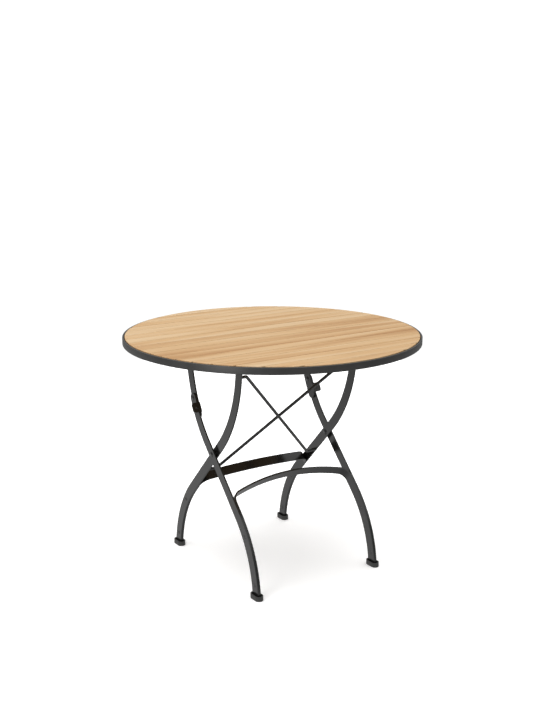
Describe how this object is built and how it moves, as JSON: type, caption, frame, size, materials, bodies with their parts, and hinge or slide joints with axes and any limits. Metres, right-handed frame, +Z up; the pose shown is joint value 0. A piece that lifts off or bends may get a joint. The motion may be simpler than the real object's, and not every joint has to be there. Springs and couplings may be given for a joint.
{
  "type": "round folding bistro table",
  "caption": "Round bistro table with a slatted wooden top in a thin metal hoop, on crossed S-shaped flat-bar legs that fold like scissors while the top tips up.",
  "frame": {"origin": "on the floor, under the middle of the round top", "axes": "+Z up; X along the slats and the hinge pins; -Y towards the front, where the front-foot frame stands"},
  "size_m": [0.8999, 0.9, 0.72],
  "materials": {
    "slat_wood": "oiled hardwood, satin, fine straight grain along each slat",
    "frame_metal": "smooth near-black powder coat, semi-gloss; a little greyer and more satin on the rim",
    "foot_shoe": "dark moulded plastic, slightly worn",
    "screw_steel": "plain steel"
  },
  "bodies": {
    "front_frame": {"front_leg_left": "frame_metal", "front_leg_right": "frame_metal", "front_hoop": "frame_metal", "front_hoop_rivets": "frame_metal", "front_foot_left": "foot_shoe", "front_foot_right": "foot_shoe", "knuckle_rivet_left": "frame_metal", "knuckle_rivet_right": "frame_metal", "pivot_rivet_left": "frame_metal", "pivot_rivet_right": "frame_metal", "pivot_spacer_left": "frame_metal", "pivot_spacer_right": "frame_metal"},
    "rear_frame": {"rear_leg_left": "frame_metal", "rear_leg_right": "frame_metal", "rear_hoop": "frame_metal", "rear_hoop_rivets": "frame_metal", "rear_foot_left": "foot_shoe", "rear_foot_right": "foot_shoe", "brace_rod_falling": "frame_metal", "brace_rod_rising": "frame_metal", "top_rail": "frame_metal"},
    "tabletop": {"rim_hoop": "frame_metal", "slat_ledge": "frame_metal", "slat_01": "slat_wood", "slat_02": "slat_wood", "slat_03": "slat_wood", "slat_04": "slat_wood", "slat_05": "slat_wood", "slat_06": "slat_wood", "slat_07": "slat_wood", "slat_08": "slat_wood", "slat_09": "slat_wood", "slat_10": "slat_wood", "slat_11": "slat_wood", "slat_12": "slat_wood", "slat_13": "slat_wood", "slat_14": "slat_wood", "slat_15": "slat_wood", "slat_16": "slat_wood", "slat_17": "slat_wood", "slat_18": "slat_wood", "bearer_left": "frame_metal", "bearer_centre": "frame_metal", "bearer_right": "frame_metal", "slat_screws": "screw_steel", "strap_left": "frame_metal", "strap_right": "frame_metal", "strap_rivets": "frame_metal", "stop_tab_left": "frame_metal", "stop_tab_right": "frame_metal", "rail_catch_left": "frame_metal", "rail_catch_right": "frame_metal", "catch_screws": "screw_steel"}
  },
  "joints": [
    {"name": "top_hinge", "type": "hinge", "parent": "front_frame", "child": "tabletop", "pos_m": [0, 0.10714, 0.52309], "axis": [-1, 0, 0], "range_deg": [0, 120]},
    {"name": "scissor_pivot", "type": "hinge", "parent": "front_frame", "child": "rear_frame", "pos_m": [0, 0, 0.3722], "axis": [-1, 0, 0], "range_deg": [0, 58]}
  ],
  "couplings": [
    {"joint": "scissor_pivot", "follows": "top_hinge", "ratio": 0.48}
  ]
}
